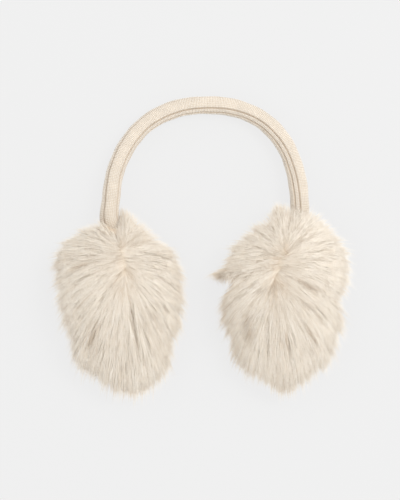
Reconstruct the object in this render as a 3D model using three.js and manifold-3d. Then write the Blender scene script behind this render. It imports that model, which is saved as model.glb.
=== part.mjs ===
// Fur earmuffs: a padded, knit-covered headband whose two ends run into round muffs of long fur,
// each muff with a plush ear pad under it. The earmuffs lie on a table, ear pads down and crown of
// the band resting on the table, with the long fur combed away from the crown.
// Millimetres. +X runs from the left muff to the right one, +Y from the muffs to the crown of the
// band and +Z up from the table. The group is centred over the table by its own outline.
import * as THREE from "three";
import { mergeVertices } from "three/addons/utils/BufferGeometryUtils.js";
import Module from "manifold-3d";

const wasm = await Module();
wasm.setup();

// Headband
const archRadius = 72; // middle of the band, seen from above
const bandThickness = 12.6; // from the head side to the outside
const bandWidth = 16; // from the lower edge to the upper edge
const foldDepth = 1.3; // of the folds that run along the knit cover
const foldWidth = 2.6; // across one fold, along the cover
const flareLength = 26; // of the stretch where the left end of the cover widens
const flareGrowth = 2.6; // extra half thickness of the cover at that end
const twistAtLeft = 27; // degrees that the band is rolled where it leaves each muff
const twistAtRight = -33;
const stationPitch = 11; // between the sections of the band
const creasePitch = 24; // degrees round the section between its corners, away from the folds
const legLean = 0.35; // share of a muff's inset that its leg has swung out by over the pad's rim
const leftStance = 1.0; // how far out the left leg stands, as a share of archRadius
const rightStance = 0.98; // the same for the right leg, as a share of archRadius

// Muffs
const leftMuffInset = 7.4; // from the band's leg in to the middle of the ear pad
const leftMuffDrop = 62; // from the arch's centre down to the middle of the ear pad
const rightMuffInset = 12.7;
const rightMuffDrop = 58;
const padRadius = 33;
const padThickness = 13;
const padEdge = 4; // rounding of the ear pad's rim
const padSides = 32;
const backingThickness = 2.5; // fur backing between the ear pad and the band's end
const socketDepth = 14; // of the band's end past the ear pad's rim

// Fur
const furReach = 52; // from the middle of the ear pad to the tips, where the outline share is 1
const furLoft = 60; // top of the fur above the table
const furFullness = 0.7; // how the fur's dome falls to its rim: 0.5 is an ellipse, 1 a parabola
const rimHeight = 22; // tips above the table, where the outline share is 1
const partingDepth = 5; // dip in the fur where it parts
const partingRadius = 11;
const furDepth = 9; // of the locks over the solid heart of the muff
const heartReach = 0.8; // of the heart, as a share of the way out to the tips
const heartFoot = 0.66; // the same, where the heart tucks under to the ear pad
const heartSides = 24;
const combTurn = 0.26; // radians that combing turns the fur on its way out
const lockWidth = 11;
const lockThickness = 6;
const lockStray = { angle: 0.5, tip: 0.07, size: 0.25, drop: 0.2 }; // from its place, as shares
const slopeStep = 0.02; // share of the way out over which the fur's slope is taken

// Fits
const seatGap = 0.3; // between pieces that touch
const tableGap = 0.2; // under the fur and the crown of the band

const sleeveColour = 0xece0cc;
const furColour = 0xeadfce;
const plushColour = 0xe6d9c4;

// How far the arch's middle line stands from its centre, as shares of archRadius, every 18 degrees
// from the left leg over the crown to the right leg.
const archRows = [0.985, 0.983, 0.985, 0.995, 0.996, 0.998, 1.023, 1.047, 1.035, 1.006, 0.995];

// Where the fur parts, from the middle of the ear pad, as shares of padRadius.
const partings = {
  left: { x: 0.2, y: 0.16 },
  right: { x: -0.09, y: 0.545 },
};

// How far the fur's tips reach, as shares of furReach, every 22.5 degrees from +X towards +Y.
const outlineRows = [
  { left: 0.94, right: 0.99 },
  { left: 0.93, right: 1.02 },
  { left: 0.85, right: 1.0 },
  { left: 0.89, right: 1.02 },
  { left: 0.91, right: 1.02 },
  { left: 0.96, right: 0.93 },
  { left: 1.0, right: 0.87 },
  { left: 1.07, right: 0.91 },
  { left: 1.0, right: 0.97 },
  { left: 1.03, right: 1.05 },
  { left: 1.16, right: 1.23 },
  { left: 1.44, right: 1.53 },
  { left: 1.64, right: 1.74 },
  { left: 1.56, right: 1.5 },
  { left: 1.2, right: 1.2 },
  { left: 1.03, right: 0.96 },
];

// Rings of locks, from the parting out. root and tip are shares of the way out to the tips, drop is
// how far the ring's tips hang below the fur's surface, as a share of the height there.
const lockRings = [
  { count: 6, root: 0.04, tip: 0.4, size: 0.8, drop: 0 },
  { count: 11, root: 0.2, tip: 0.62, size: 1, drop: 0 },
  { count: 16, root: 0.38, tip: 0.84, size: 1, drop: 0 },
  { count: 24, root: 0.56, tip: 1, size: 1, drop: 0 },
  { count: 22, root: 0.62, tip: 0.97, size: 1.1, drop: 0.6 },
];

// Folds along the knit cover, in degrees round its section from the upper edge to the head side.
const foldAngles = [-58, 30, 62, 118, 176, 236];

const degrees = Math.PI / 180;

function solid(geometry) {
  const bare = geometry.clone();
  bare.deleteAttribute("normal");
  bare.deleteAttribute("uv");
  const merged = mergeVertices(bare, 1e-4);
  const corners = merged.index.array;
  const faces = [];
  for (let corner = 0; corner < corners.length; corner += 3) {
    const face = [corners[corner], corners[corner + 1], corners[corner + 2]];
    if (new Set(face).size === 3) faces.push(...face);
  }
  return new wasm.Manifold(
    new wasm.Mesh({
      numProp: 3,
      vertProperties: merged.attributes.position.array,
      triVerts: new Uint32Array(faces),
    }),
  );
}

function geometryOf(body) {
  const mesh = body.getMesh();
  const geometry = new THREE.BufferGeometry();
  geometry.setAttribute("position", new THREE.BufferAttribute(mesh.vertProperties, 3));
  geometry.setIndex(new THREE.BufferAttribute(mesh.triVerts, 1));
  return geometry;
}

// A closed skin over rings of points that run anticlockwise seen from the last ring, with as many
// points each. The end rings are closed by a fan round their middle, and a ring whose points all
// meet makes a tip.
function loft(rings) {
  const sides = rings[0].length;
  const middle = (ring) =>
    ring.reduce((sum, point) => sum.add(point), new THREE.Vector3()).divideScalar(sides);
  const positions = [...rings.flat(), middle(rings[0]), middle(rings[rings.length - 1])];
  const first = rings.length * sides;
  const faces = [];
  for (let side = 0; side < sides; side++) {
    const next = (side + 1) % sides;
    const lastRing = (rings.length - 1) * sides;
    faces.push(first, next, side, first + 1, lastRing + side, lastRing + next);
    for (let ring = 0; ring + 1 < rings.length; ring++) {
      const [a, b] = [ring * sides + side, ring * sides + next];
      faces.push(a, b, b + sides, a, b + sides, a + sides);
    }
  }
  const geometry = new THREE.BufferGeometry().setFromPoints(positions);
  geometry.setIndex(faces);
  return geometry;
}

// A repeatable stray value from -1 to 1 for a numbered lock.
function stray(number, use) {
  const wave = Math.sin(number * 127.1 + use * 311.7) * 43758.5453;
  return 2 * (wave - Math.floor(wave)) - 1;
}

// Headband

const leftPad = new THREE.Vector2(-(archRadius - leftMuffInset), -leftMuffDrop);
const rightPad = new THREE.Vector2(archRadius - rightMuffInset, -rightMuffDrop);

const crownHeight = bandWidth / 2 + tableGap;
const endHeight = padThickness + backingThickness + bandWidth / 2;

// The middle line of the band, from its end over the left ear pad to its end over the right one.
function bandPath(runOn) {
  const legs = [
    { pad: leftPad, side: -1, stance: leftStance },
    { pad: rightPad, side: 1, stance: rightStance },
  ].map(({ pad, side, stance }) => {
    const rim = pad.y + padRadius;
    return [
      new THREE.Vector2(pad.x, rim - socketDepth - runOn),
      new THREE.Vector2(pad.x + side * legLean * (archRadius - Math.abs(pad.x)), rim),
      new THREE.Vector2(side * archRadius * stance, rim / 2),
    ];
  });
  const arch = archRows.map((share, row) => {
    const angle = Math.PI * (1 - row / (archRows.length - 1));
    return new THREE.Vector2(Math.cos(angle), Math.sin(angle)).multiplyScalar(share * archRadius);
  });
  const plan = [...legs[0], ...arch, ...legs[1].reverse()];
  const low = Math.min(leftPad.y, rightPad.y) + padRadius - socketDepth;
  return new THREE.CatmullRomCurve3(
    plan.map(({ x, y }) => {
      const down = (archRadius - y) / (archRadius - low);
      return new THREE.Vector3(x, y, crownHeight + (endHeight - crownHeight) * down);
    }),
    false,
    "centripetal",
  );
}

// One section of the knit cover: an oval with a crease at each fold. grow moves its skin outwards.
function coverSection(grow) {
  const points = [];
  const meanRadius = (bandThickness + bandWidth) / 4;
  const creaseAngle = foldWidth / meanRadius / 2 / degrees;
  foldAngles.forEach((fold, index) => {
    const nextFold = foldAngles[index + 1] ?? foldAngles[0] + 360;
    const from = fold + creaseAngle;
    const to = nextFold - creaseAngle;
    const steps = Math.max(1, Math.round((to - from) / creasePitch));
    points.push({ angle: fold, sink: foldDepth });
    for (let step = 0; step <= steps; step++) {
      points.push({ angle: from + ((to - from) * step) / steps, sink: 0 });
    }
  });
  return points.map(({ angle, sink }) => ({
    headward: (bandThickness / 2 - sink + grow) * Math.sin(angle * degrees),
    upward: (bandWidth / 2 - sink + grow) * Math.cos(angle * degrees),
  }));
}

function makeBand(grow) {
  const path = bandPath(grow);
  const length = path.getLength();
  const stations = Math.round(length / stationPitch);
  const section = coverSection(grow);
  const rings = [];
  for (let station = 0; station <= stations; station++) {
    const share = station / stations;
    const point = path.getPointAt(share);
    const along = path.getTangentAt(share);
    const outside = new THREE.Vector3(-along.y, along.x, 0).normalize();
    const upper = new THREE.Vector3().crossVectors(along, outside);
    const roll = (twistAtLeft + (twistAtRight - twistAtLeft) * share) * degrees;
    const nearEnd = Math.max(0, 1 - (share * length) / flareLength);
    const flare = flareGrowth * nearEnd * nearEnd * (3 - 2 * nearEnd);
    rings.push(
      section.map(({ headward, upward }) => {
        const inward = headward * Math.cos(roll) + upward * Math.sin(roll);
        const above = upward * Math.cos(roll) - headward * Math.sin(roll);
        const spread = 1 + flare / (bandThickness / 2);
        return point
          .clone()
          .addScaledVector(outside, -inward * spread)
          .addScaledVector(upper, above);
      }),
    );
  }
  return solid(loft(rings));
}

// Muffs

function outlineShare(side, angle) {
  const rows = outlineRows.length;
  const place = ((((angle / (2 * Math.PI)) * rows) % rows) + rows) % rows;
  const row = Math.floor(place);
  const part = place - row;
  const smooth = part * part * (3 - 2 * part);
  const from = outlineRows[row][side];
  const to = outlineRows[(row + 1) % rows][side];
  return from + (to - from) * smooth;
}

// The fur's surface: share 0 is the parting and 1 the tips, and angle is the way that the fur sets
// out from the parting, before combing turns it.
function furSurface(muff, angle, share, drop = 0) {
  const turned = angle - combTurn * Math.cos(angle) * share * share;
  const outline = outlineShare(muff.side, turned);
  const reach = furReach * outline;
  const tips = new THREE.Vector2(reach * Math.cos(turned), reach * Math.sin(turned));
  const { x, y } = partings[muff.side];
  const parting = new THREE.Vector2(x, y).multiplyScalar(padRadius);
  const plan = parting.clone().lerp(tips, share).add(muff.pad);
  const rim = rimHeight / outline;
  const out = parting.distanceTo(tips) * share;
  const dome = rim + (furLoft - rim) * Math.pow(Math.max(0, 1 - share * share), furFullness);
  const dip = partingDepth * Math.exp(-((out / partingRadius) ** 2));
  return new THREE.Vector3(plan.x, plan.y, (dome - dip) * (1 - drop * share));
}

function surfaceNormal(muff, angle, share, drop) {
  const inner = furSurface(muff, angle, Math.max(slopeStep, share - slopeStep), drop);
  const outer = furSurface(muff, angle, Math.min(1, share + slopeStep), drop);
  const before = furSurface(muff, angle - slopeStep, share, drop);
  const after = furSurface(muff, angle + slopeStep, share, drop);
  return outer.sub(inner).cross(after.sub(before)).normalize();
}

// The solid heart of a muff, which the locks stand out of. Each level is a share of the heart's
// reach, and its height is under the fur's surface or, round the rim and the foot, of the rim's.
function makeHeart(muff) {
  const levels = [
    { share: heartFoot / heartReach, height: () => 0.1 * rimHeight },
    { share: 1, height: () => 0.9 * rimHeight },
    { share: 0.8, height: (surface) => surface - 0.8 * furDepth },
    { share: 0.5, height: (surface) => surface - furDepth },
    { share: 0.14, height: (surface) => surface - furDepth },
  ];
  const rings = levels.map(({ share, height }) =>
    Array.from({ length: heartSides }, (_, side) => {
      const point = furSurface(muff, (2 * Math.PI * side) / heartSides, share * heartReach);
      point.z = height(point.z);
      return point;
    }),
  );
  return solid(loft(rings));
}

// One lock of a ring: a tapered strand, four-sided, that dives into the heart at its root.
function makeLock(muff, ring, number, place) {
  const spacing = (2 * Math.PI) / ring.count;
  const angle = spacing * (place + lockStray.angle * stray(number, 1));
  const tip = ring.tip * (1 + lockStray.tip * stray(number, 2));
  const size = ring.size * (1 + lockStray.size * stray(number, 3));
  const drop = ring.drop * (1 + lockStray.drop * stray(number, 4));
  const stations = [
    { along: 0, width: 0.75, sink: 1 },
    { along: 0.36, width: 1, sink: 0.5 },
    { along: 0.7, width: 0.72, sink: 0.1 },
    { along: 1, width: 0, sink: 0 },
  ];
  const rings = stations.map(({ along, width, sink }) => {
    const share = ring.root + (tip - ring.root) * along;
    const point = furSurface(muff, angle, share, drop);
    const normal = surfaceNormal(muff, angle, share, drop);
    const onward = furSurface(muff, angle, share + slopeStep, drop);
    const combed = onward.sub(furSurface(muff, angle, share - slopeStep, drop)).normalize();
    const across = new THREE.Vector3().crossVectors(normal, combed).normalize();
    point.addScaledVector(normal, -furDepth * sink - 0.5 * lockThickness * width);
    const half = 0.5 * lockWidth * size * width;
    const high = 0.5 * lockThickness * size * width;
    return [
      point.clone().addScaledVector(across, half),
      point.clone().addScaledVector(normal, high),
      point.clone().addScaledVector(across, -half),
      point.clone().addScaledVector(normal, -high),
    ];
  });
  return solid(loft(rings));
}

// Half the section of an ear pad: flat faces with a rounded rim. grow moves its skin outwards.
function padProfile(grow) {
  const corner = padEdge * (1 - Math.SQRT1_2);
  const top = padThickness + grow;
  return [
    new THREE.Vector2(0, -grow),
    new THREE.Vector2(padRadius - padEdge, -grow),
    new THREE.Vector2(padRadius - corner + grow, corner),
    new THREE.Vector2(padRadius + grow, padEdge),
    new THREE.Vector2(padRadius + grow, padThickness - padEdge),
    new THREE.Vector2(padRadius - corner + grow, top - corner),
    new THREE.Vector2(padRadius - padEdge, top),
    new THREE.Vector2(0, top),
  ];
}

function makePad(muff, grow) {
  const pad = new THREE.LatheGeometry(padProfile(grow), padSides);
  pad.rotateX(Math.PI / 2);
  pad.translate(muff.pad.x, muff.pad.y, 0);
  return solid(pad);
}

function makeFur(muff, bandSocket) {
  const locks = [];
  let number = muff.firstLock;
  lockRings.forEach((ring, row) => {
    for (let lock = 0; lock < ring.count; lock++) {
      locks.push(makeLock(muff, ring, number++, lock + 0.5 * (row % 2)));
    }
  });
  const grown = wasm.Manifold.union([makeHeart(muff), ...locks]);
  const span = 6 * furReach;
  const table = new THREE.BoxGeometry(span, span, furLoft);
  table.translate(muff.pad.x, muff.pad.y, tableGap - furLoft / 2);
  const cut = grown
    .subtract(solid(table))
    .subtract(makePad(muff, seatGap))
    .subtract(bandSocket);
  // Locks that the band's socket cuts through leave loose tips, which are shaved off.
  return cut.decompose().sort((a, b) => b.volume() - a.volume())[0];
}

// Assembly

const muffs = [
  { side: "left", pad: leftPad, firstLock: 1 },
  { side: "right", pad: rightPad, firstLock: 501 },
];

const knit = new THREE.MeshStandardMaterial({ color: sleeveColour, roughness: 0.95 });
const fur = new THREE.MeshStandardMaterial({ color: furColour, roughness: 0.85 });
const plush = new THREE.MeshStandardMaterial({ color: plushColour, roughness: 1 });

const earmuffs = new THREE.Group();

function addPiece(name, body, material) {
  const piece = new THREE.Mesh(geometryOf(body), material);
  piece.name = name;
  earmuffs.add(piece);
}

addPiece("headband_sleeve", makeBand(0), knit);
const bandSocket = makeBand(seatGap);
for (const muff of muffs) {
  addPiece(`fur_muff_${muff.side}`, makeFur(muff, bandSocket), fur);
  addPiece(`ear_pad_${muff.side}`, makePad(muff, 0), plush);
}

// Centred over the table by the outline of the whole.
const outline = new THREE.Box3().setFromObject(earmuffs);
const middle = outline.getCenter(new THREE.Vector3());
earmuffs.position.set(-middle.x, -middle.y, -outline.min.z);

export default earmuffs;
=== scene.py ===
"""Fur earmuffs: a padded headband in a fine knit sleeve, with a muff of long fur at each end and a plush
ear pad under each muff.

They lie on a pale surface, ear pads down. Metres, +X from the left muff to the right one, +Y from the
muffs to the crown of the headband and +Z up. Every piece is made round the fixed frame of the solids.
"""

import math

import bmesh
import bpy
import numpy as np
from bpy.props import FloatProperty, FloatVectorProperty, IntProperty, PointerProperty
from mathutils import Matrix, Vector


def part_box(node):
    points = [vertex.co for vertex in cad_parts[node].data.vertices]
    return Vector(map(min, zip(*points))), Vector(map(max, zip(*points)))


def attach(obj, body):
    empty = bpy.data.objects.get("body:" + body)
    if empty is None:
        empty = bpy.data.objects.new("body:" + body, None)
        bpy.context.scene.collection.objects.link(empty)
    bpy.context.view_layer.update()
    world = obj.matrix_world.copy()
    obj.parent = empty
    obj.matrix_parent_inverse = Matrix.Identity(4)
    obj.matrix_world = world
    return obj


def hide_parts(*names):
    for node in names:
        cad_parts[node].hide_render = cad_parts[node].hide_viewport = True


bl_info = {
    "name": "Fur earmuffs",
    "version": (1, 0, 0),
    "blender": (4, 5, 0),
    "location": "3D View > Sidebar > Earmuffs",
    "description": "Knit headband, muffs of long fur and plush ear pads round a fixed frame",
    "category": "Add Mesh",
}

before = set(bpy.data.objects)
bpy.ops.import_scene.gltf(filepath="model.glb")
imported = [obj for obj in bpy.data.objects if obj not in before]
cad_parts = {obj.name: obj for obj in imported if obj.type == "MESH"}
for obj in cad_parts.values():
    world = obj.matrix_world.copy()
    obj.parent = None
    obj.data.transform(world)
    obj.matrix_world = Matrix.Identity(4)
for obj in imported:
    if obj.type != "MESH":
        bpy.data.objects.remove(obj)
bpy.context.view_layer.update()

MM = 0.001
FULL_TURN = 2 * math.pi

# The name of the map on every knit and fur piece. The export keeps a map of this name.
MAP = "OFBake"

# The frame's own places: the middle of each ear pad, seen from above, and its size.
SIDES = ("left", "right")
PAD_BOXES = {side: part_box(f"ear_pad_{side}") for side in SIDES}
PAD_MIDDLES = {side: np.array(((low + high) / 2).xy) for side, (low, high) in PAD_BOXES.items()}
PAD_RADIUS = (PAD_BOXES["left"][1].x - PAD_BOXES["left"][0].x) / 2
PAD_THICKNESS = PAD_BOXES["left"][1].z
FUR_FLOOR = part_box("fur_muff_left")[0].z

# How far each muff's fur reaches, as shares of the reach, every 22.5 degrees from +X towards +Y.
OUTLINE = {
    "left": (0.94, 0.94, 0.85, 0.94, 1.06, 0.94, 0.98, 1.02, 0.93, 0.95, 1.08, 1.4, 1.61, 1.55, 1.18, 1.03),
    "right": (0.95, 0.99, 0.99, 1.04, 1.04, 0.88, 0.85, 0.9, 0.97, 1.03, 1.19, 1.53, 1.71, 1.5, 1.17, 0.9),
}

# Tufts that stand out of that outline, or notches in it: degrees, half width in degrees, and how much
# longer the fur is there, as a share of the reach.
TUFTS = {
    "left": ((281, 9, 0.12), (84, 7, 0.05), (214, 8, -0.04)),
    "right": (
        *((181, 5, 0.18), (191, 7, -0.2), (168, 9, -0.05), (271, 6, 0.08)),
        *((270, 16, -0.05), (262, 4, -0.05), (97, 6, 0.09)),
    ),
}

# The lower and upper end of the line where the fur parts, from the middle of the ear pad, as shares
# of the pad's radius.
PARTINGS = {
    "left": ((0.2, 0.16), (0.1, 0.85)),
    "right": ((-0.28, -0.1), (-0.02, 0.66)),
}

# Short hollows between locks, where the fur sinks and its hair is painted darker as shade: both ends from
# the middle of the ear pad and half the width, as shares of the pad's radius, and how deep each is from 0 to
# 1.
HOLLOWS = {
    "left": (
        ((0.3, -0.36), (0.48, -1.58), 0.04, 0.6),
        ((0.12, 0.9), (0.2, 0.2), 0.045, 0.7),
        ((-0.53, -1.07), (-0.69, -1.58), 0.09, 0.7),
        ((-0.88, 0.36), (-1.1, 0.22), 0.08, 0.6),
        ((0.74, -0.7), (0.95, -1.0), 0.05, 0.5),
    ),
    "right": (
        ((-0.02, 0.72), (0.02, 0.62), 0.05, 1.0),
        ((-0.1, 0.5), (-0.3, -0.27), 0.045, 0.9),
        ((0.34, -0.11), (0.65, -0.3), 0.07, 0.8),
        ((-0.94, -1.05), (-0.8, -1.47), 0.09, 0.9),
        ((0.02, -1.35), (0.09, -1.81), 0.06, 0.5),
        ((0.53, -1.24), (0.71, -1.56), 0.05, 0.45),
    ),
}

# The arch's middle line from its centre, as shares of its radius, every 18 degrees from the left leg.
ARCH = (0.987, 0.988, 1.001, 1.017, 1.011, 1.004, 1.021, 1.037, 1.022, 0.994, 0.988)

# Folds along the knit cover: degrees round its section from the upper edge to the head side, and how
# deep each is at the left leg and from the crown on, as a share of the fold depth. The change from one
# to the other starts at a share of the band's length and takes another share of it. A fold's lip is
# its sharp side, whose width is a share of its soft side's.
FOLD_CHANGE_START = 0.12
FOLD_CHANGE_LENGTH = 0.3
FOLD_LIP = 0.42
FOLDS = ((-58, 1.25, 0.1), (30, 0.25, 1.0), (62, 0.0, 1.0), (118, 0.6, 0.6), (176, 0.5, 0.5), (236, 0.5, 0.5))


def srgb(code):
    """Linear red, green and blue of an sRGB hex colour."""
    parts = [int(code[at : at + 2], 16) / 255 for at in (1, 3, 5)]
    return tuple(p / 12.92 if p <= 0.04045 else ((p + 0.055) / 1.055) ** 2.4 for p in parts)


def unit(vectors):
    """Vectors at length 1, along the last axis."""
    return vectors / np.maximum(np.linalg.norm(vectors, axis=-1, keepdims=True), 1e-12)


def smoothstep(value):
    """0 to 1 with a soft start and end."""
    part = np.clip(value, 0, 1)
    return part * part * (3 - 2 * part)


def add_node(tree, kind, settings=None, inputs=None, links=None):
    """Adds a node, sets its properties and sockets, and links sockets of earlier nodes into it."""
    node = tree.nodes.new(kind)
    for name, value in (settings or {}).items():
        setattr(node, name, value)
    for name, value in (inputs or {}).items():
        node.inputs[name].default_value = value
    for name, socket in (links or {}).items():
        tree.links.new(socket, node.inputs[name])
    return node


def ramp_stops(node, stops):
    """Gives a Color Ramp node its stops: (place, linear colour)."""
    ramp = node.color_ramp
    while len(ramp.elements) > len(stops):
        ramp.elements.remove(ramp.elements[-1])
    while len(ramp.elements) < len(stops):
        ramp.elements.new(1)
    for element, (place, colour) in zip(ramp.elements, stops):
        element.position = place
        element.color = (*colour, 1)


def new_material(name, sockets):
    """A Principled material with these constant sockets. Returns the material, its tree and shader."""
    material = bpy.data.materials.new(name)
    material.use_nodes = True
    shader = material.node_tree.nodes["Principled BSDF"]
    for socket, value in sockets.items():
        shader.inputs[socket].default_value = value
    return material, material.node_tree, shader


def finished_mesh(name, bm):
    """The mesh of a finished bmesh."""
    mesh = bpy.data.meshes.new(name)
    bm.to_mesh(mesh)
    bm.free()
    return mesh


def add_piece(name, mesh, material, smooth=True):
    """Puts a finished mesh in the scene as a piece of the earmuffs."""
    mesh.materials.append(material)
    mesh.polygons.foreach_set("use_smooth", np.full(len(mesh.polygons), smooth))
    piece = bpy.data.objects.new(name, mesh)
    bpy.context.scene.collection.objects.link(piece)
    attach(piece, "root")
    return piece


def joined_mesh(name, points, faces, uv):
    """One mesh of many small things, from arrays: points, lists of faces and a map place per point."""
    mesh = bpy.data.meshes.new(name)
    mesh.from_pydata(points.tolist(), [], [face for group in faces for face in group.tolist()])
    corners = np.empty(len(mesh.loops), np.int32)
    mesh.loops.foreach_get("vertex_index", corners)
    layer = mesh.uv_layers.new(name=MAP)
    layer.uv.foreach_set("vector", uv[corners].astype(np.float32).ravel())
    return mesh


# The coats of hair on each muff: strands, strands in a wisp, points along a strand, length of the hair
# above the parting and below it, where its tips end as a share of the way to the muff's outline, width
# of a wisp at its roots, how far it sweeps sideways, height of its tips above the fur's surface, how
# much that height differs between hairs and between wisps, share of the wisps that hang down the
# muff's side, tone, lower in the underfur as painted shade under the guard hair, and how light the
# roots are left by their painted shade, as a share of the rest.
COATS = {
    "guard_hair": {
        "count": 19800, "per_wisp": 12, "stations": 3, "above": 14 * MM, "below": 21 * MM, "edge": 0.965,
        "wisp_width": 2.2 * MM, "sweep": 1.5 * MM, "rise": 0.7 * MM, "ruffle": 0.4 * MM, "stand": 0.3 * MM,
        "low": 0.18, "tone": 0.66, "root": 0.87,
    },
    "underfur": {
        "count": 49500, "per_wisp": 6, "stations": 2, "above": 9 * MM, "below": 13 * MM, "edge": 0.94,
        "wisp_width": 2.0 * MM, "sweep": 0.8 * MM, "rise": -0.3 * MM, "ruffle": 0.45 * MM, "stand": 0.2 * MM,
        "low": 0.24, "tone": 0.55, "root": 0.85,
    },
}

# How many strands are sown for each one wanted, because those in the band's way are left out.
SOWN_SPARE = 1.08

# How near the band's middle line no strand runs, and how near none lies over the band outside the left
# muff, as shares of the band's thickness.
BAND_CLEARANCE = 0.42
BAND_BARED = 0.46

# Ranges that the fur draws from. Shares of the way out: where wisps start at the parting and low on the
# side, and how far stray hairs pass the rest. Shares of a wisp's length: its own spread, where its
# hairs' tips end and how long they are. How far a low wisp drops, and how loosely a wisp holds together.
SPREAD = {
    "central": (0.0, 0.2),
    "low": (0.6, 0.9),
    "stray": (0.02, 0.12),
    "length": (0.75, 1.2),
    "tip": (0.25, 0.85),
    "hair": (0.8, 1.1),
    "drop": (0.1, 0.92),
    "loose": (0.5, 0.95),
}

# The fur lies calmest towards its upper right: how rough it is there, as a share of its roughness at the
# lower left, and radians from straight up to that way.
CALM = 0.26
CALM_LEAN = 0.6

# Added to the fur's seed for the heights of its locks.
LOCK_SEED = 100


# Headband


def arch_centre(band):
    """The middle of the arch, seen from above: up and inwards from the left ear pad's middle."""
    inset = band.arch_radius - band.left_inset
    return PAD_MIDDLES["left"] + np.array((inset, band.left_drop))


def band_route(band):
    """The chosen points of the band's middle line, from the left ear pad over the crown to the right one."""
    centre = arch_centre(band)
    radius = band.arch_radius
    legs = []
    for side, sign, stance in (("left", -1, band.left_stance), ("right", 1, band.right_stance)):
        pad = PAD_MIDDLES[side] - centre
        rim = pad[1] + PAD_RADIUS
        lean = pad[0] + sign * band.leg_lean * (radius - abs(pad[0]))
        legs.append([(pad[0], rim - band.socket_depth), (lean, rim), (sign * radius * stance, rim / 2)])
    turns = np.pi * (1 - np.arange(len(ARCH)) / (len(ARCH) - 1))
    arch = [(s * radius * math.cos(t), s * radius * math.sin(t)) for s, t in zip(ARCH, turns)]
    plan = np.array(legs[0] + arch + legs[1][::-1])
    low = min((PAD_MIDDLES[side] - centre)[1] for side in SIDES) + PAD_RADIUS - band.socket_depth
    crown = band.width / 2 + band.table_gap
    end = PAD_THICKNESS + band.backing + band.width / 2
    height = crown + (end - crown) * (radius - plan[:, 1]) / (radius - low)
    return np.column_stack((plan + centre, height))


def band_line(band, steps=80):
    """Points along the band's middle line: a centripetal Catmull-Rom curve, and its share of length."""
    route = band_route(band)
    ends = np.vstack((2 * route[0] - route[1], route, 2 * route[-1] - route[-2]))
    pace = np.sqrt(np.linalg.norm(np.diff(ends, axis=0), axis=1))
    part = np.linspace(0, 1, steps, endpoint=False)[:, None]
    line = []
    for at in range(1, len(ends) - 2):
        before, here, there, after = ends[at - 1 : at + 3]
        a, b, c = pace[at - 1 : at + 2]
        leave = ((here - before) / a - (there - before) / (a + b) + (there - here) / b) * b
        reach = ((there - here) / b - (after - here) / (b + c) + (after - there) / c) * b
        bend = 3 * (there - here) - 2 * leave - reach
        wind = 2 * (here - there) + leave + reach
        line.append(here + leave * part + bend * part**2 + wind * part**3)
    line = np.vstack((*line, ends[-2]))
    run = np.concatenate(([0], np.cumsum(np.linalg.norm(np.diff(line, axis=0), axis=1))))
    return line, run


def band_frames(band, share):
    """Middle point, way out and way up of the band at shares of its length, and that length."""
    line, run = band_line(band)
    at = share * run[-1]
    ways = unit(np.gradient(line, run, axis=0))
    point, along = (np.stack([np.interp(at, run, rows[:, k]) for k in range(3)], -1) for rows in (line, ways))
    along = unit(along)
    out = unit(np.stack((-along[..., 1], along[..., 0], np.zeros_like(at)), -1))
    return point, out, np.cross(along, out), run[-1]


def fold_sink(band, share, turn):
    """How deep the cover is folded in at a share of its length and a turn round its section, in metres.

    Each fold has a sharp lip on one side and a soft roll on the other.
    """
    mean_radius = (band.thickness + band.width) / 4
    crown = smoothstep((share - FOLD_CHANGE_START) / FOLD_CHANGE_LENGTH)
    sink = np.zeros_like(turn + share)
    for fold, left, right in FOLDS:
        away = (turn - math.radians(fold) + math.pi) % FULL_TURN - math.pi
        away = away * mean_radius / (band.fold_width / 2)
        lip = np.where(away < 0, FOLD_LIP, 1.0)
        sink = np.maximum(sink, (left + (right - left) * crown) * np.exp(-((away / lip) ** 2)))
    return band.fold_depth * sink


def cover_skin(band, share, turn):
    """Points of the cover at shares of the band's length and turns round its section."""
    point, out, up, length = band_frames(band, share)
    roll = np.radians(band.twist_left + (band.twist_right - band.twist_left) * share)
    half = band.thickness / 2
    sink = fold_sink(band, share, turn)
    headward = (half - sink) * np.sin(turn)
    upward = (band.width / 2 - sink) * np.cos(turn)
    inward = headward * np.cos(roll) + upward * np.sin(roll)
    above = upward * np.cos(roll) - headward * np.sin(roll)
    flare = band.flare_growth * smoothstep(1 - share * length / band.flare_length)
    inward = inward * (1 + flare / half)
    skin = point - out * inward[..., None] + up * above[..., None]

    # The cover's slack waves: how often they come along the band, and how far they lean round it.
    short_waves, long_waves, lean = 83, 37, 2.1
    wave = np.sin(share * short_waves + lean * np.sin(turn)) * np.sin(share * long_waves + turn)
    lift = band.slack * wave
    spin = turn + roll
    return skin + lift[..., None] * (-out * np.sin(spin)[..., None] + up * np.cos(spin)[..., None])


def add_fuzz(tree, shader, place, noise, relief):
    """Gives a shader the relief of fine fibres: the settings of their noise and of their bump."""
    fibres = add_node(tree, "ShaderNodeTexNoise", inputs=noise, links=place)
    bump = add_node(tree, "ShaderNodeBump", inputs=relief, links={"Height": fibres.outputs["Fac"]})
    tree.links.new(bump.outputs["Normal"], shader.inputs["Normal"])


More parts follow.
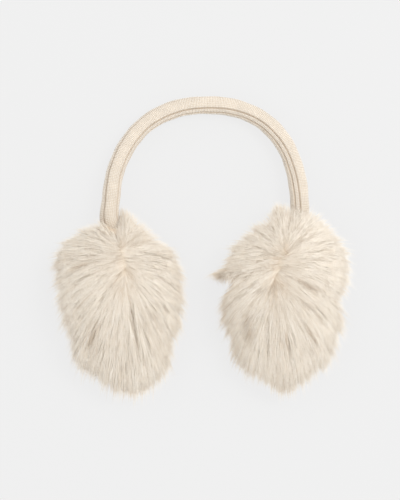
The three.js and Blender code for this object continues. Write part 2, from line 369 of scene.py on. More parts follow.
def knit_material(name, band, light, dark):
    """Fine-gauge stockinette in a matt cream wool and acrylic yarn, which gives a soft fuzzy face without
    gloss. The map's across runs round the cover, so it places a darker stripe of painted shade in each fold.
    """
    material, tree, shader = new_material(
        name, {"Roughness": 0.86, "Sheen Weight": 0.25, "Sheen Roughness": 0.5, "Specular IOR Level": 0.25}
    )
    place = add_node(tree, "ShaderNodeUVMap", {"uv_map": MAP})
    split = add_node(tree, "ShaderNodeSeparateXYZ", links={"Vector": place.outputs["UV"]})
    folds = add_node(tree, "ShaderNodeValToRGB", links={"Fac": split.outputs["X"]})
    width = band.fold_width / (math.pi * (band.thickness + band.width) / 2)
    # Painted shade: each fold's stripe darkens sharply at its lip and fades out on its soft side.
    stripe = ((-0.5, light), (-0.06, dark), (0.2, dark), (0.9, light))
    stops = []
    for fold in sorted(row[0] % 360 / 360 for row in FOLDS):
        stops += [(fold + aside * width, shade) for aside, shade in stripe]
    ramp_stops(folds, stops)
    folds.color_ramp.interpolation = "EASE"
    body = {"Vector": add_node(tree, "ShaderNodeTexCoord").outputs["Object"]}
    uneven = {"Scale": 1 / (9 * MM), "Detail": 3.0, "Roughness": 0.6}
    yarn = add_node(tree, "ShaderNodeTexNoise", inputs=uneven, links=body)
    gentle = {"From Min": 0.3, "From Max": 0.7, "To Min": 0.93, "To Max": 1.03}
    tone = add_node(tree, "ShaderNodeMapRange", inputs=gentle, links={"Value": yarn.outputs["Fac"]})
    toned = {"Vector": folds.outputs["Color"], "Scale": tone.outputs["Result"]}
    colour = add_node(tree, "ShaderNodeVectorMath", {"operation": "SCALE"}, links=toned)
    tree.links.new(colour.outputs["Vector"], shader.inputs["Base Color"])
    # Single fibres are too fine to show, so the fuzz is drawn half a millimetre across.
    fuzz = {"Scale": 1 / (0.5 * MM), "Detail": 2.0}
    add_fuzz(tree, shader, body, fuzz, {"Strength": 0.35, "Distance": 0.1 * MM})
    return material


def section_turns(band):
    """Turns round the cover's section, closer together across each fold."""
    middle, extra = 0.5, 2.5
    fine = np.linspace(0, FULL_TURN, 1441)
    crowd = 1 + extra * fold_sink(band, middle, fine) / band.fold_depth
    run = np.concatenate(([0], np.cumsum((crowd[1:] + crowd[:-1]) / 2)))
    places = np.linspace(0, run[-1], band.section_points, endpoint=False)
    return np.interp(places, run, fine)


def ring_edges(bm, ring):
    """The edges that join a closed ring of vertices."""
    return [bm.edges.get(pair) for pair in zip(ring, ring[1:] + ring[:1])]


def sleeve_mesh(band):
    """The cover as one closed skin: its section drawn out along the band's line."""
    turns = section_turns(band)
    sides = len(turns)
    stations = band.stations
    shares = np.linspace(0, 1, stations)
    skin = cover_skin(band, *np.meshgrid(shares, turns, indexing="ij"))
    bm = bmesh.new()
    made = bmesh.ops.create_circle(bm, cap_ends=True, segments=sides, radius=1)
    ring = list(made["verts"])
    for vertex, point in zip(ring, skin[0]):
        vertex.co = point
    edges = ring_edges(bm, ring)
    for station in range(1, stations):
        grown = bmesh.ops.extrude_edge_only(bm, edges=edges)["geom"]
        fresh = {v for v in grown if isinstance(v, bmesh.types.BMVert)}
        linked = [[edge.other_vert(vertex) for edge in vertex.link_edges] for vertex in ring]
        ring = [next(vertex for vertex in others if vertex in fresh) for others in linked]
        for vertex, point in zip(ring, skin[station]):
            vertex.co = point
        edges = ring_edges(bm, ring)
    bmesh.ops.holes_fill(bm, edges=edges, sides=sides)
    bmesh.ops.recalc_face_normals(bm, faces=bm.faces)
    bm.verts.index_update()
    layer = bm.loops.layers.uv.new(MAP)
    around = np.append(turns, FULL_TURN) / FULL_TURN
    for face in bm.faces:
        columns = [loop.vert.index % sides for loop in face.loops]
        wraps = max(columns) - min(columns) > 1 and len(columns) == 4
        for loop, column in zip(face.loops, columns):
            row = loop.vert.index // sides
            column = sides if wraps and column == 0 else column
            loop[layer].uv = (around[column], row / (stations - 1))
    return finished_mesh("headband_sleeve_knit", bm)


def stitch_mesh(band):
    """The knit's stitches, as one mesh: columns of V shapes along the cover, each V two slanted grains of
    yarn that sit in its skin. The real columns are about 1 mm apart. They are drawn coarser, so that they
    show. A grain has four corners in the skin and a ridge point above them.
    """
    leg_offset = 0.3
    end_sink, side_sink = 0.25, 0.1
    along_step, round_step = 1e-3, 0.02
    length = band_line(band)[1][-1]
    girth = math.pi * (band.thickness + band.width) / 2
    wales = round(girth / band.wale_pitch)
    from_end = band.bare_end / length
    courses = round(length * (1 - 2 * from_end) / band.course_pitch)
    course, wale, leg = np.meshgrid(np.arange(courses), np.arange(wales), (-1, 1), indexing="ij")
    course, wale, leg = course.ravel(), wale.ravel(), leg.ravel()
    step = FULL_TURN / wales
    turn = (wale + leg_offset * leg) * step
    share = from_end + (1 - 2 * from_end) * (course + 0.5) / courses
    here = cover_skin(band, share, turn)
    ahead = cover_skin(band, share + along_step, turn)
    beside = cover_skin(band, share, turn + round_step)
    along, around = unit(ahead - here), unit(beside - here)
    normal = unit(np.cross(around, along))
    around = np.cross(along, normal)
    slant = math.radians(band.stitch_slant) * leg
    lengthways = along * np.cos(slant)[:, None] + around * np.sin(slant)[:, None]
    across = np.cross(normal, lengthways)
    high = band.yarn_relief
    half_long = lengthways * (0.72 * band.course_pitch)
    half_wide = across * (0.21 * band.wale_pitch)
    tail, head = (here + sign * half_long - normal * end_sink * high for sign in (-1, 1))
    right, left = (here + sign * half_wide - normal * side_sink * high for sign in (1, -1))
    corners = np.stack((tail, right, head, left, here + normal * high), 1)
    base = 5 * np.arange(len(here))[:, None]
    roofs = [base + np.array([(k + 1) % 4, k, 4]) for k in range(4)]
    floors = [base + np.array([0, 1, 2]), base + np.array([0, 2, 3])]
    turn_share = (turn / FULL_TURN) % 1
    spread = np.array((-0.3, 0.0, 0.3, 0.0, 0.0)) / courses
    sideways = np.array((0.0, 0.2, 0.0, -0.2, 0.0)) / wales
    uv = np.stack((turn_share[:, None] + sideways, share[:, None] + spread), -1)
    return joined_mesh("headband_stitches", corners.reshape(-1, 3), roofs + floors, uv.reshape(-1, 2))


# Fur


def outline_share(side, angle, tufts=()):
    """The outline's share of the reach at angles round the ear pad's middle, with these tufts on it."""
    rows = np.array(OUTLINE[side])
    place = angle / FULL_TURN * len(rows) % len(rows)
    row = np.floor(place).astype(int) % len(rows)
    smooth = smoothstep(place - np.floor(place))
    outline = rows[row] + (rows[(row + 1) % len(rows)] - rows[row]) * smooth
    for way, width, longer in tufts:
        away = (angle - math.radians(way) + math.pi) % FULL_TURN - math.pi
        outline = outline + longer * np.exp(-((away / math.radians(width)) ** 2))
    return outline


def hollow_share(side, plan):
    """How far a place lies in one of the hollows between locks: 0 outside, up to 1 in the deepest."""
    place = (plan - PAD_MIDDLES[side]) / PAD_RADIUS
    share = np.zeros(place.shape[:-1])
    for start, end, width, depth in HOLLOWS[side]:
        way = np.array(end) - start
        along = np.clip((place - start) @ way / (way @ way), 0, 1)
        off = np.linalg.norm(place - start - along[..., None] * way, axis=-1)
        share = np.maximum(share, depth * np.exp(-((off / width) ** 2)))
    return share


def band_groove(fur, side, plan):
    """How deep the headband presses the fur down where it comes out of a muff: over half its thickness to
    each side, and from a third of its thickness inside its foot onwards.
    """
    band = bpy.context.scene.earmuffs_headband
    foot = band_route(band)[1 if side == "left" else -2][:2]
    across, onward = (plan - foot)[..., 0], (plan - foot)[..., 1]
    depth = fur.groove_left if side == "left" else fur.groove_right
    beside = np.exp(-((across / (0.5 * band.thickness)) ** 2))
    return depth * beside * smoothstep(0.35 + onward / band.thickness)


def fur_surface(fur, side, angle, share, drop=0.0):
    """Points of the fur's surface. Share 0 is the parting and 1 the tips. Angle is the way that the fur
    sets out from the parting, before combing turns it. Drop brings the surface down towards the table.
    """
    turned = angle - fur.comb_turn * np.cos(angle) * share * share
    outline = outline_share(side, turned)
    reach = fur.reach * outline_share(side, turned, TUFTS[side])
    tips = np.stack((reach * np.cos(turned), reach * np.sin(turned)), -1)
    lower, upper = (np.array(end) * PAD_RADIUS for end in PARTINGS[side])
    parting = lower + (upper - lower) * ((1 + np.sin(angle)) / 2)[..., None]
    plan = parting + (tips - parting) * share[..., None] + PAD_MIDDLES[side]
    from_middle = plan - PAD_MIDDLES[side]
    way = np.arctan2(from_middle[..., 1], from_middle[..., 0])
    far = np.linalg.norm(from_middle, axis=-1) / (fur.reach * outline_share(side, way))
    rim = fur.rim_height / outline
    out = np.linalg.norm(tips - parting, axis=-1) * share
    dome = rim + (fur.loft - rim) * np.maximum(0, 1 - far * far) ** fur.fullness
    dip = fur.parting_depth * np.exp(-((out / fur.parting_radius) ** 2))
    sunk = dip + band_groove(fur, side, plan) + fur.hollow_depth * hollow_share(side, plan)
    height = (dome - sunk) * (1 - drop * share)
    return np.concatenate((plan, height[..., None]), -1)


def fur_face(fur, side, angle, share, drop=0.0):
    """The surface's point and its normal."""

    def surface(turn, out):
        return fur_surface(fur, side, turn, out, drop)

    step = 0.02
    inside = np.clip(share, step, 1 - step)
    onward = unit(surface(angle, inside + step) - surface(angle, inside - step))
    aside = surface(angle + step, inside) - surface(angle - step, inside)
    return surface(angle, share), unit(np.cross(onward, aside))


def fur_run(fur, side, angle):
    """How far it is over the table from the parting to the tips, the way that the fur sets out."""
    tips = fur_surface(fur, side, angle, np.ones_like(angle))
    edge = tips - fur_surface(fur, side, angle, np.zeros_like(angle))
    return np.hypot(edge[..., 0], edge[..., 1])


def pile_depth(fur, share):
    """From the fur's surface down to its backing: the pile is short and close where it parts."""
    at_parting, full_from = 0.4, 0.3
    return fur.root_depth * (at_parting + (1 - at_parting) * smoothstep(share / full_from))


def lock_relief(fur, side, way, share):
    """How far the fur stands up or sinks where it gathers in locks: about -1 between them to 1 on their
    backs. Broad locks lie along the fur with their ends staggered, and fine ones lie on them.
    """
    rng = np.random.default_rng(fur.seed + LOCK_SEED + SIDES.index(side))
    relief = np.zeros_like(way)
    broad, fine = (fur.locks_round, 4, 0.7), (round(2.6 * fur.locks_round), 6, 0.5)
    for columns, rows, weight in (broad, fine):
        heights = rng.uniform(-1, 1, (columns, rows + 2))
        stagger = rng.random(columns)
        place = way / FULL_TURN * columns
        column = np.floor(place).astype(int)
        sides = []
        for step in (0, 1):
            chosen = (column + step) % columns
            out = np.clip(share, 0, 1) * rows + stagger[chosen]
            row = np.floor(out).astype(int)
            below, above = heights[chosen, row], heights[chosen, row + 1]
            sides.append(below + (above - below) * smoothstep(out - row))
        relief += weight * (sides[0] + (sides[1] - sides[0]) * smoothstep(place - column))
    return relief


def sown_places(fur, side, count, rng):
    """Places spread evenly over the muff as seen from above: the way that each lies from the parting, and
    its share of the way out.
    """
    ways = np.linspace(0, FULL_TURN, 241)
    area = fur_run(fur, side, ways) ** 2
    heap = np.concatenate(([0], np.cumsum((area[1:] + area[:-1]) / 2)))
    return np.interp(rng.random(count) * heap[-1], heap, ways), np.sqrt(rng.random(count))


def near_band(band, paths):
    """Which strands would run through the headband, or lie over its face outside the left muff."""
    line, run = band_line(band, 12)
    closest = np.full(paths.shape[:2], np.inf)
    above = np.full(paths.shape[:2], np.inf)
    for point, place in zip(line, run):
        closest = np.minimum(closest, np.linalg.norm(paths - point, axis=2))
        if band.covered_left < place < run[-1] / 2:
            opening = smoothstep(0.3 + (place - band.covered_left) / band.thickness)
            bared = BAND_BARED * band.thickness * opening
            above = np.minimum(above, np.linalg.norm(paths[..., :2] - point[:2], axis=2) / bared)
    through = (closest[:, 1:] < BAND_CLEARANCE * band.thickness).any(1)
    return through | (above < 1).any(1)


def strand_mesh(name, paths, outward, radii, tones):
    """Strands as one mesh: each a closed three-sided needle along its path, a flat side outwards, that is
    fullest in its middle and runs to a point. Its place on the map is its tone across, and root to tip
    upwards.
    """
    count, stations = paths.shape[:2]
    along = unit(np.gradient(paths, axis=1))
    aside = unit(np.cross(outward, along))
    up = np.cross(along, aside)
    run = np.linspace(0, 1, stations)[:-1]
    taper = (0.9 + 0.5 * run - 1.1 * run**2)[None, :, None, None]
    spin = (FULL_TURN * (np.arange(3) / 3 + 1 / 12))[None, None, :, None]
    ring = paths[:, :-1, None] + radii[:, None, None, None] * taper * (
        np.cos(spin) * aside[:, :-1, None] + np.sin(spin) * up[:, :-1, None]
    )
    rings = stations - 1
    size = 3 * rings + 1
    points = np.concatenate((ring.reshape(count, -1, 3), paths[:, -1:]), 1)
    first = size * np.arange(count)[:, None]
    faces = [first + np.array((0, 1, 2))]
    for level in range(rings):
        for corner in range(3):
            here, beside = 3 * level + corner, 3 * level + (corner + 1) % 3
            above = (here + 3, beside + 3) if level + 1 < rings else (3 * rings,)
            faces.append(first + np.array((beside, here, *above)))
    margin, sliver = 0.01, 0.006
    upwards = margin + (1 - 2 * margin) * np.append(np.repeat(run, 3), 1)
    across = np.append(np.tile(np.array((-sliver, 0.0, sliver)), rings), 0)
    tone = np.clip(tones[:, None] * (1 - 2 * margin) + margin + across, 0, 1)
    uv = np.stack((tone, np.broadcast_to(upwards, (count, size))), -1)
    return joined_mesh(name, points.reshape(-1, 3), faces, uv.reshape(-1, 2))


def strands(fur, side, count, rng, coat):
    """Paths of one coat of hair with the way out of the fur at each point, and the strands' tones. The hair
    is sown in small wisps, whose strands run together a little. Few tips pass the muff's outline.
    """
    # The wisps: some start at the parting and some hang down the muff's side.
    wisps = count // coat["per_wisp"] + 1
    way, middle = sown_places(fur, side, wisps, rng)
    central = rng.random(wisps) < fur.central_share
    middle = np.where(central, rng.uniform(*SPREAD["central"], wisps), middle)
    low = rng.random(wisps) < coat["low"]
    middle = np.where(low, rng.uniform(*SPREAD["low"], wisps), middle)
    drop = np.where(low, rng.uniform(*SPREAD["drop"], wisps), 0.0)
    fall = (1 - np.sin(way)) / 2
    length = coat["above"] + (coat["below"] - coat["above"]) * fall
    span = length * rng.uniform(*SPREAD["length"], wisps) / fur_run(fur, side, way)
    rough = CALM + (1 - CALM) * (1 - np.sin(way + CALM_LEAN)) / 2
    relief = rough * lock_relief(fur, side, way, middle)
    # Painted light and shade: wisps on the backs of locks are lighter and those between them darker, and
    # wisps near the parting are darker; the rest of the tone differs at random.
    parted = 1 - smoothstep(middle / 0.16)
    tone = coat["tone"] + 0.08 * relief + 0.12 * rough * rng.normal(size=wisps) - 0.35 * parted
    stand = rough * coat["stand"] * rng.normal(size=wisps)
    loose = rng.uniform(*SPREAD["loose"], wisps)
    sweep = rng.normal(size=wisps) * coat["sweep"]

    # The strands: where each starts and ends between the parting and the outline.
    wisp = np.repeat(np.arange(wisps), coat["per_wisp"])[:count]
    limit = coat["edge"] + fur.edge_stray * rng.normal(size=wisps)
    whisker = (rng.random(count) < fur.flyaways) * rng.uniform(*SPREAD["stray"], count)
    edge = limit[wisp] + 0.6 * fur.edge_stray * rng.normal(size=count) + whisker
    tip = np.minimum(middle[wisp] + span[wisp] * rng.uniform(*SPREAD["tip"], count), edge)
    root = np.maximum(tip - span[wisp] * rng.uniform(*SPREAD["hair"], count), -0.1 * rng.random(count))

    # How far each lies beside its wisp's middle, at its root and at its tip, and how high its tip stands.
    beside = rng.normal(size=count) * 0.5 * coat["wisp_width"]
    cross = (0.18 + 0.5 * (1 - smoothstep(tip / 0.5))) * coat["wisp_width"]
    leave = beside * loose[wisp] + sweep[wisp] + rng.normal(size=count) * cross
    fuzz = fur.edge_fuzz * smoothstep((tip - 0.8) / 0.2) * rng.random(count)
    rise = coat["rise"] + fur.lock_lift * relief[wisp] + stand[wisp] + fuzz
    rise = rise + rough[wisp] * coat["ruffle"] * rng.normal(size=count)

    # The points along each, from its root in the pile up to its tip.
    at = np.linspace(0, 1, coat["stations"])[None, :]
    share = root[:, None] + (tip - root)[:, None] * at
    across = beside[:, None] + (leave - beside)[:, None] * at
    reach = fur_run(fur, side, way)[wisp][:, None] * np.maximum(share, 0.2)
    turn = way[wisp][:, None] + across / reach
    point, normal = fur_face(fur, side, turn, share, drop[wisp][:, None])
    depth = pile_depth(fur, share) * (1 - at) ** 1.6
    paths = point + normal * (rise[:, None] * at - depth)[..., None]
    paths[..., 2] = np.maximum(paths[..., 2], FUR_FLOOR)

    # Painted shade: hair is darker in the hollows, and where it strays past the outline on the left, the
    # side away from the light.
    shaded = 0.55 * hollow_share(side, point[:, -1, :2])
    leftward = (1 - np.cos(way[wisp])) / 2
    shaded = shaded + 0.35 * leftward * smoothstep((tip - limit[wisp]) / 0.05)
    tones = np.clip(tone[wisp] + rng.normal(size=count) * 0.14 * rough[wisp] - shaded, 0, 1)
    return paths, normal, tones


def hide_mesh(fur, side):
    """The fur's backing and dense inner pile: a closed dome under the strands, with its foot tucked in to
    the ear pad. The sphere's upper part makes the dome and the rest of it makes the tuck.
    """
    rings, sides = 22, 72
    upper = 0.6
    bm = bmesh.new()
    made = bmesh.ops.create_uvsphere(bm, u_segments=sides, v_segments=rings, radius=1)
    turn = np.array([math.atan2(v.co.y, v.co.x) for v in made["verts"]])
    tilt = np.array([math.acos(max(-1, min(1, v.co.z))) / math.pi for v in made["verts"]])
    outer = np.clip(tilt / upper, 0, 1)
    tuck = np.clip((tilt - upper) / (1 - upper), 0, 1)
    share = fur.backing_share * outer * (1 - tuck)
    point, normal = fur_face(fur, side, turn, share)
    top = point - normal * pile_depth(fur, share)[:, None]
    lip = fur_surface(fur, side, turn, np.full_like(turn, fur.backing_share))
    foot = PAD_THICKNESS + 0.5 * MM
    lower = fur_surface(fur, side, turn, fur.backing_share * (1 - tuck))
    lower[:, 2] = foot + (lip[:, 2] - fur.root_depth - foot) * (1 - tuck) ** 3
    chosen = np.where((tuck > 0)[:, None], lower, top)
    for vertex, place in zip(made["verts"], chosen):
        vertex.co = place
    bmesh.ops.recalc_face_normals(bm, faces=bm.faces)
    return finished_mesh(f"fur_backing_{side}", bm)


def fur_material(name, fur, root_shade):
    """Faux fur of fine modacrylic fibre, which gives a soft face with a faint sheen, pale towards the tips
    and warm and darker at the roots as painted shade deep in the pile. The map's across is the strand's tone,
    which holds painted shade as well as the hair's own tone, and its upwards runs from root to tip.
    """
    material, tree, shader = new_material(
        name, {"Roughness": 0.62, "Sheen Weight": 0.3, "Sheen Roughness": 0.45, "Specular IOR Level": 0.3}
    )
    place = add_node(tree, "ShaderNodeUVMap", {"uv_map": MAP})
    split = add_node(tree, "ShaderNodeSeparateXYZ", links={"Vector": place.outputs["UV"]})
    tone = add_node(tree, "ShaderNodeValToRGB", links={"Fac": split.outputs["X"]})
    tones = (fur.deep_colour, fur.warm_colour, fur.pale_colour, fur.bright_colour)
    ramp_stops(tone, list(zip((0.0, 0.35, 0.7, 1.0), tones)))
    length = add_node(tree, "ShaderNodeValToRGB", links={"Fac": split.outputs["Y"]})
    # Painted shade: the roots are darkened and warmed, fading out six tenths of the way to the tip.
    warm_white = (1.0, 0.94, 0.86)
    root = tuple(root_shade * part for part in warm_white)
    ramp_stops(length, [(0.0, root), (0.3, tuple(0.4 + 0.6 * part for part in root)), (0.6, (1.0,) * 3)])
    both = {0: tone.outputs["Color"], 1: length.outputs["Color"]}
    colour = add_node(tree, "ShaderNodeVectorMath", {"operation": "MULTIPLY"}, links=both)
    tree.links.new(colour.outputs["Vector"], shader.inputs["Base Color"])
    return material


def pile_material(name, sockets, patches, tones, pile, relief):
    """A short pile in soft patches of two tones: its shader's sockets, the noise of the patches, their dark
    and light tone, the noise of the pile and the relief that it gives.
    """
    material, tree, shader = new_material(name, sockets)
    body = {"Vector": add_node(tree, "ShaderNodeTexCoord").outputs["Object"]}
    brushed = add_node(tree, "ShaderNodeTexNoise", inputs=patches, links=body)
    tone = add_node(tree, "ShaderNodeValToRGB", links={"Fac": brushed.outputs["Fac"]})
    ramp_stops(tone, list(zip((0.3, 0.7), tones)))
    tree.links.new(tone.outputs["Color"], shader.inputs["Base Color"])
    add_fuzz(tree, shader, body, pile, relief)
    return material


def backing_material(fur):
    """The dense inner pile at the roots of the fur: a matt, mottled ground whose warm tan, darker than the
    hair, is painted shade in the gaps between locks. Its fibres are too fine to show, so they are drawn
    nearly a millimetre across.
    """
    return pile_material(
        "dense root pile",
        {"Roughness": 0.95, "Specular IOR Level": 0.1},
        {"Scale": 1 / (6 * MM), "Detail": 4.0},
        (fur.pile_dark, fur.pile_light),
        {"Scale": 1 / (0.8 * MM), "Detail": 2.0},
        {"Strength": 0.5, "Distance": 0.4 * MM},
    )


# Ear pads


def pad_mesh(pad, side):
    """A stuffed disc: a profile spun round the pad's middle, flat where it rests, with a rounded rim and
    gathers round it.
    """
    middle = PAD_MIDDLES[side]
    radius, thick = PAD_RADIUS - 0.5 * MM, PAD_THICKNESS
    steps, steps_per_gather = 14, 6
    bm = bmesh.new()
    profile = [(0.0, 0.0), (0.3, 0.0), (0.6, 0.0), (0.8, 0.004)]
    for step in range(steps + 1):
        turn = math.pi * step / steps - math.pi / 2
        profile.append((0.87 + 0.13 * math.cos(turn), 0.5 + 0.48 * math.sin(turn)))
    profile += [(0.6, 1.0), (0.3, 1.0), (0.0, 1.0)]
    verts = [bm.verts.new((share * radius, 0, height * thick)) for share, height in profile]
    edges = [bm.edges.new(pair) for pair in zip(verts, verts[1:])]
    turned = {"cent": (0, 0, 0), "axis": (0, 0, 1), "angle": FULL_TURN, "use_merge": True}
    bmesh.ops.spin(bm, geom=verts + edges, steps=pad.gathers * steps_per_gather, **turned)
    bmesh.ops.remove_doubles(bm, verts=bm.verts, dist=0.01 * MM)
    bmesh.ops.recalc_face_normals(bm, faces=bm.faces)
    for vertex in bm.verts:
        out = math.hypot(vertex.co.x, vertex.co.y) / radius
        turn = math.atan2(vertex.co.y, vertex.co.x)
        height = vertex.co.z / thick
        rim = smoothstep((out - 0.7) / 0.3)
        gather = rim * pad.gather_depth * 0.5 * (math.cos(turn * pad.gathers) - 1) * (1 - abs(2 * height - 1))
        shrink = 1 + gather / radius
        vertex.co = Vector((vertex.co.x * shrink + middle[0], vertex.co.y * shrink + middle[1], vertex.co.z))
    return finished_mesh(f"ear_pad_{side}_plush", bm)


def plush_material(pad):
    """Short cream plush of knitted polyester pile, which gives a sheen at grazing angles and soft brushed
    patches. Its fibres are too fine to show, so they are drawn coarser.
    """
    return pile_material(
        "brushed short plush",
        {"Roughness": 0.9, "Sheen Weight": 0.6, "Sheen Roughness": 0.4, "Specular IOR Level": 0.2},
        {"Scale": 1 / (11 * MM), "Detail": 4.0, "Distortion": 0.6},
        (pad.plush_dark, pad.plush_light),
        {"Scale": 1 / (0.7 * MM), "Detail": 3.0},
        {"Strength": 0.6, "Distance": 0.3 * MM},
    )


# Settings


def in_mm(description, millimetres):
    """A setting that is a length, given in millimetres."""
    return FloatProperty(description=description, default=millimetres * MM, unit="LENGTH")


def plain(description, value):
    """A setting that is a share, an angle in degrees or another plain number."""
    return FloatProperty(description=description, default=value)


def whole(description, value):
    """A setting that is a whole number."""
    return IntProperty(description=description, default=value)


def tint(description, code):
    """A setting that is a colour, from its sRGB hex code."""
    return FloatVectorProperty(description=description, subtype="COLOR", default=srgb(code))


class HeadbandSettings(bpy.types.PropertyGroup):
    arch_radius: in_mm("Middle of the band, seen from above", 72)
    thickness: in_mm("From the head side to the outside", 13.2)
    width: in_mm("From the lower edge to the upper edge", 16)
    left_inset: in_mm("From the left leg in to the ear pad's middle", 7.4)
    left_drop: in_mm("From the arch's centre down to the left ear pad's middle", 62)
    left_stance: plain("How far out the left leg stands, as a share of the arch radius", 1.0)
    right_stance: plain("How far out the right leg stands, as a share of the arch radius", 0.98)
    leg_lean: plain("Share of its inset that a leg has swung out by over the pad's rim", 0.35)
    socket_depth: in_mm("Of the band's end past the ear pad's rim", 14)
    backing: in_mm("Fur backing between the ear pad and the band's end", 2.5)
    table_gap: in_mm("Under the crown of the band", 0.4)
    twist_left: plain("Degrees that the band is rolled where it leaves the left muff", 27)
    twist_right: plain("Degrees that the band is rolled where it leaves the right muff", -33)
    flare_length: in_mm("Of the stretch where the left end of the cover widens", 40)
    flare_growth: in_mm("Extra half thickness of the cover at its left end", 4.2)
    fold_depth: in_mm("Of the folds along the cover", 1.1)
    fold_width: in_mm("Across one fold", 1.4)
    slack: in_mm("Height of the cover's small waves", 0.22)
    wale_pitch: in_mm("Between columns of stitches", 1.5)
    course_pitch: in_mm("Between rows of stitches", 1.2)
    stitch_slant: plain("Degrees between a grain of yarn and its column", 22)
    yarn_relief: in_mm("How far the yarn stands out of the cover", 0.28)
    covered_left: in_mm("Length of the left end that the fur lies over", 24)
    bare_end: in_mm("Length inside each muff that has no stitches", 8)
    # Painted shade: the knit ground is darker than the yarn, standing in for the shade in the gaps between
    # stitches.
    cover_gap_shade: tint("Of the knit ground between the stitches", "#cebfab")
    # The two fold colours are painted shade in the creases, for the ground and for the stitches.
    cover_fold_shade: tint("Of the knit ground in the folds", "#c6b5a0")
    yarn_colour: tint("Of the stitches", "#ede6dc")
    yarn_fold_shade: tint("Of the stitches in the folds", "#ddcfbf")
    section_points: whole("Round the cover's section", 84)
    stations: whole("Sections along the cover", 200)


class FurSettings(bpy.types.PropertyGroup):
    reach: in_mm("From the ear pad's middle to the tips where the outline share is 1", 52)
    loft: in_mm("Top of the fur above the table", 60)
    fullness: plain("How the dome falls to its rim", 0.7)
    rim_height: in_mm("Tips above the table where the outline share is 1", 22)
    parting_depth: in_mm("Dip where the fur parts", 2.8)
    parting_radius: in_mm("Of that dip", 11)
    hollow_depth: in_mm("Of the deepest hollow between locks", 2.0)
    groove_left: in_mm("How deep the headband presses the left muff's fur down", 9)
    groove_right: in_mm("How deep it presses the right muff's fur down", 3)
    comb_turn: plain("Radians that combing turns the fur on its way out", 0.26)
    lock_lift: in_mm("How far a lock stands out of the fur's surface", 0.6)
    root_depth: in_mm("From the fur's surface down to its backing", 5)
    backing_share: plain("How far out the backing reaches, as a share of the way to the tips", 0.86)
    strand_width: in_mm("Across one strand, drawn a few fibres thick so that it shows", 0.34)
    central_share: plain("Share of the wisps that start at the parting", 0.1)
    flyaways: plain("Share of the strands that stand out past the rest", 0.2)
    edge_stray: plain("How unevenly the wisps end round the muff, as a share of the way out", 0.026)
    edge_fuzz: in_mm("How far hair ends stand off the muff's side", 1.8)
    deep_colour: tint("Of the darkest hair", "#d0bda6")
    warm_colour: tint("Of hair a little darker than most", "#e4dacb")
    pale_colour: tint("Of most of the hair", "#eee7db")
    bright_colour: tint("Of the lightest hair", "#f6f1e8")
    pile_dark: tint("Dark patches of the dense root pile", "#d2bfa7")
    pile_light: tint("Light patches of the dense root pile", "#e0d0bc")
    locks_round: whole("Broad locks round the muff", 24)
    seed: whole("Of the fur's stray places", 7)


class EarPadSettings(bpy.types.PropertyGroup):
    gathers: whole("Gathers round the rim", 22)
    gather_depth: in_mm("Of one gather", 0.9)
    fill: plain("How full the pad is stuffed, from 0 to 1", 0.85)
    plush_dark: tint("Of the plush where it is brushed down", "#dccbb2")
    plush_light: tint("Of the plush where it stands up", "#eadcc7")


class StudioSettings(bpy.types.PropertyGroup):
    lens: plain("Focal length of the camera, in millimetres", 100)
    view_height: in_mm("What the picture's long side spans on the object", 380)
    view_level: in_mm("Height above the table where that span is taken", 10)
    view_x: in_mm("Middle of the picture", 1.1)
    view_y: in_mm("Middle of the picture", -0.9)
    key_power: plain("Of the large soft light at the upper right, in watts", 4.6)
    fill_strength: plain("Of the even light from all round", 1.08)
    key_size: in_mm("Across the large soft light", 500)
    key_place: FloatVectorProperty(description="Where it hangs", unit="LENGTH", default=(0.45, 0.3, 0.95))
    floor_reach: in_mm("How far the pale surface runs each way", 3000)
    floor_colour: tint("Of the pale surface", "#f0f0f0")
    floor_glow: plain("Share of its colour that the surface gives off by itself", 0.893)
    floor_shade: plain("Share of its colour that takes light and shadow", 0.08)


# Operators


class EARMUFFS_OT_knit_headband(bpy.types.Operator):
    """Make the headband's knit cover with its folds and stitches"""

    bl_idname = "earmuffs.knit_headband"
    bl_label = "Knit headband"

    def execute(self, context):
        band = context.scene.earmuffs_headband
        # The ground's colours are painted shade: darker than the yarn between stitches, and darker again in
        # the folds.
        cover = knit_material("stockinette ground", band, band.cover_gap_shade, band.cover_fold_shade)
        sleeve = add_piece("headband_sleeve_knit", sleeve_mesh(band), cover)
        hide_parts("headband_sleeve")
        # The stitches are painted darker in the folds, as shade.
        yarn = knit_material("matt cream yarn", band, band.yarn_colour, band.yarn_fold_shade)
        add_piece("headband_stitches", stitch_mesh(band), yarn)
        return {"FINISHED"}


class EARMUFFS_OT_fur_muffs(bpy.types.Operator):
    """Make both muffs: backing, underfur and guard hair"""

    bl_idname = "earmuffs.fur_muffs"
    bl_label = "Fur muffs"

    def execute(self, context):
        fur, band = context.scene.earmuffs_fur, context.scene.earmuffs_headband
        # The backing's darker tan is painted shade in the gaps between locks.
        backing = backing_material(fur)
        finishes = {
            "underfur": fur_material("faux fur underfur", fur, COATS["underfur"]["root"]),
            "guard_hair": fur_material("faux fur guard hair", fur, COATS["guard_hair"]["root"]),
        }
        for number, side in enumerate(SIDES):
            rng = np.random.default_rng(fur.seed + number)
            hide = add_piece(f"fur_backing_{side}", hide_mesh(fur, side), backing)
            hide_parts(f"fur_muff_{side}")
            for name, finish in finishes.items():
                coat = COATS[name]
                sown = round(coat["count"] * SOWN_SPARE)
                paths, outward, tones = strands(fur, side, sown, rng, coat)
                clear = np.flatnonzero(~near_band(band, paths))[: coat["count"]]
                radii = 0.5 * fur.strand_width * rng.uniform(0.7, 1.2, len(clear))
                mesh = strand_mesh(f"fur_{name}_{side}", paths[clear], outward[clear], radii, tones[clear])
                add_piece(f"fur_{name}_{side}", mesh, finish, smooth=False)
        return {"FINISHED"}


class EARMUFFS_OT_ear_pads(bpy.types.Operator):
    """Make the plush ear pads"""

    bl_idname = "earmuffs.ear_pads"
    bl_label = "Ear pads"

    def execute(self, context):
        pad = context.scene.earmuffs_pads
        plush = plush_material(pad)
        for side in SIDES:
            piece = add_piece(f"ear_pad_{side}_plush", pad_mesh(pad, side), plush)
            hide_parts(f"ear_pad_{side}")
        return {"FINISHED"}


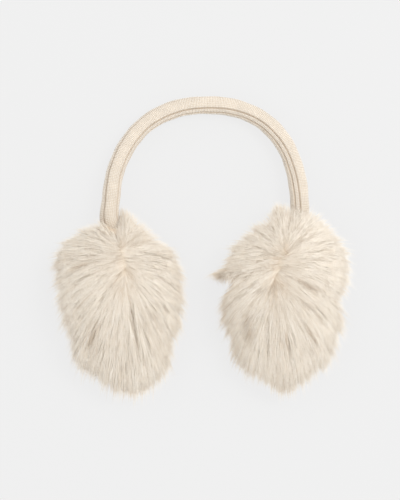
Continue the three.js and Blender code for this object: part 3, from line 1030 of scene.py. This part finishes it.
class EARMUFFS_OT_studio(bpy.types.Operator):
    """Make the pale surface, the soft light and the camera"""

    bl_idname = "earmuffs.studio"
    bl_label = "Studio"

    def execute(self, context):
        studio = context.scene.earmuffs_studio
        scene = context.scene
        bm = bmesh.new()
        bmesh.ops.create_grid(bm, x_segments=1, y_segments=1, size=studio.floor_reach)
        mesh = finished_mesh("floor", bm)
        floor = bpy.data.objects.new("floor", mesh)
        scene.collection.objects.link(floor)
        paper, _, shader = new_material("pale studio paper", {"Roughness": 1.0, "Specular IOR Level": 0.0})
        pale = np.array(studio.floor_colour)
        shader.inputs["Base Color"].default_value = (*(pale * studio.floor_shade), 1)
        shader.inputs["Emission Color"].default_value = (*pale, 1)
        shader.inputs["Emission Strength"].default_value = studio.floor_glow
        mesh.materials.append(paper)

        world = bpy.data.worlds.new("even studio light")
        world.use_nodes = True
        background = world.node_tree.nodes["Background"]
        background.inputs["Color"].default_value = (1, 1, 1, 1)
        background.inputs["Strength"].default_value = studio.fill_strength
        scene.world = world

        key = bpy.data.lights.new("key", "AREA")
        key.shape = "DISK"
        key.size = studio.key_size
        key.energy = studio.key_power
        lamp = bpy.data.objects.new("key", key)
        lamp.location = studio.key_place
        lamp.rotation_euler = (-lamp.location).to_track_quat("-Z", "Y").to_euler()
        scene.collection.objects.link(lamp)

        camera = bpy.data.cameras.new("camera")
        camera.lens = studio.lens
        distance = studio.view_height * studio.lens / camera.sensor_width
        eye = bpy.data.objects.new("camera", camera)
        eye.location = (studio.view_x, studio.view_y, studio.view_level + distance)
        scene.collection.objects.link(eye)
        scene.camera = eye

        scene.view_settings.view_transform = "Standard"
        # Light passes from hair to hair many times before it leaves pale fur.
        scene.cycles.max_bounces = 20
        scene.cycles.diffuse_bounces = 16
        return {"FINISHED"}


class EARMUFFS_PT_panel(bpy.types.Panel):
    """Lists the steps that make the earmuffs"""

    bl_idname = "EARMUFFS_PT_panel"
    bl_label = "Earmuffs"
    bl_space_type = "VIEW_3D"
    bl_region_type = "UI"
    bl_category = "Earmuffs"

    def draw(self, context):
        for step in STEPS:
            self.layout.operator(step.bl_idname)
        for group in SETTINGS:
            settings = getattr(context.scene, group)
            for name in settings.__annotations__:
                self.layout.prop(settings, name, text=name.replace("_", " ").capitalize())


SETTINGS = {
    "earmuffs_headband": HeadbandSettings,
    "earmuffs_fur": FurSettings,
    "earmuffs_pads": EarPadSettings,
    "earmuffs_studio": StudioSettings,
}
STEPS = (EARMUFFS_OT_studio, EARMUFFS_OT_knit_headband, EARMUFFS_OT_fur_muffs, EARMUFFS_OT_ear_pads)


def register():
    for kind in (*SETTINGS.values(), *STEPS, EARMUFFS_PT_panel):
        bpy.utils.register_class(kind)
    for name, kind in SETTINGS.items():
        setattr(bpy.types.Scene, name, PointerProperty(type=kind))


def unregister():
    for name in SETTINGS:
        delattr(bpy.types.Scene, name)
    for kind in (EARMUFFS_PT_panel, *reversed(STEPS), *reversed(SETTINGS.values())):
        bpy.utils.unregister_class(kind)


def main():
    register()
    bpy.ops.earmuffs.studio()
    bpy.ops.earmuffs.knit_headband()
    bpy.ops.earmuffs.fur_muffs()
    bpy.ops.earmuffs.ear_pads()


if __name__ == "__main__":
    main()
